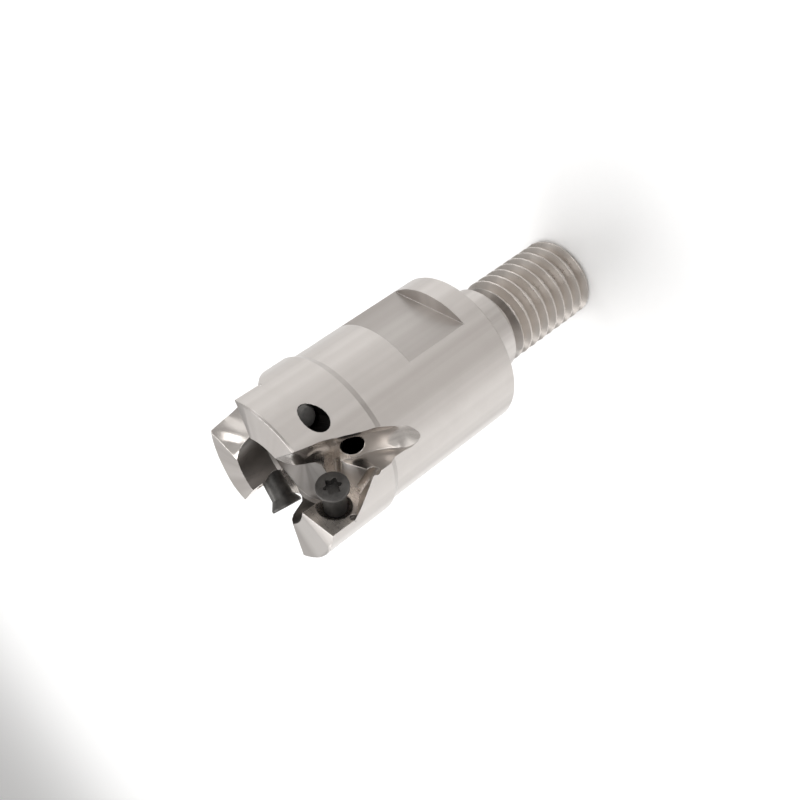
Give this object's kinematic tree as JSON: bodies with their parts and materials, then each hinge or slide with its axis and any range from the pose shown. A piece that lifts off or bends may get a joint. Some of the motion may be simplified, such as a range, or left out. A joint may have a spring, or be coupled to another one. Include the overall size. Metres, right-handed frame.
{
  "type": "screw-in face milling head",
  "caption": "Screw-in face and shoulder milling head: threaded coupling with pilot and seat, collar with wrench flats, and insert pockets with their screws.",
  "frame": {"origin": "centre of the thread's end face, the lowest point, on the spindle axis", "axes": "+Z along the spindle axis from the threaded end to the cutting end; the two wrench flats face +Y and -Y"},
  "size_m": [0.023, 0.023, 0.0551],
  "materials": {
    "body_steel": "satin",
    "screw_black": "satin"
  },
  "bodies": {
    "head": {"cutter_body": "body_steel"},
    "screw_1": {"insert_screw_1": "screw_black"},
    "screw_2": {"insert_screw_2": "screw_black"},
    "screw_3": {"insert_screw_3": "screw_black"}
  },
  "joints": [
    {"name": "screw_1_travel", "type": "slide", "parent": "head", "child": "screw_1", "axis": [0.2667, 0.9551, 0.129], "range_m": [-0.0035, 0.0042]},
    {"name": "screw_2_travel", "type": "slide", "parent": "head", "child": "screw_2", "axis": [-0.9605, -0.2466, 0.129], "range_m": [-0.0002, 0.0075]},
    {"name": "screw_3_travel", "type": "slide", "parent": "head", "child": "screw_3", "axis": [0.6938, -0.7085, 0.129], "range_m": [-0.0035, 0.0042]}
  ]
}
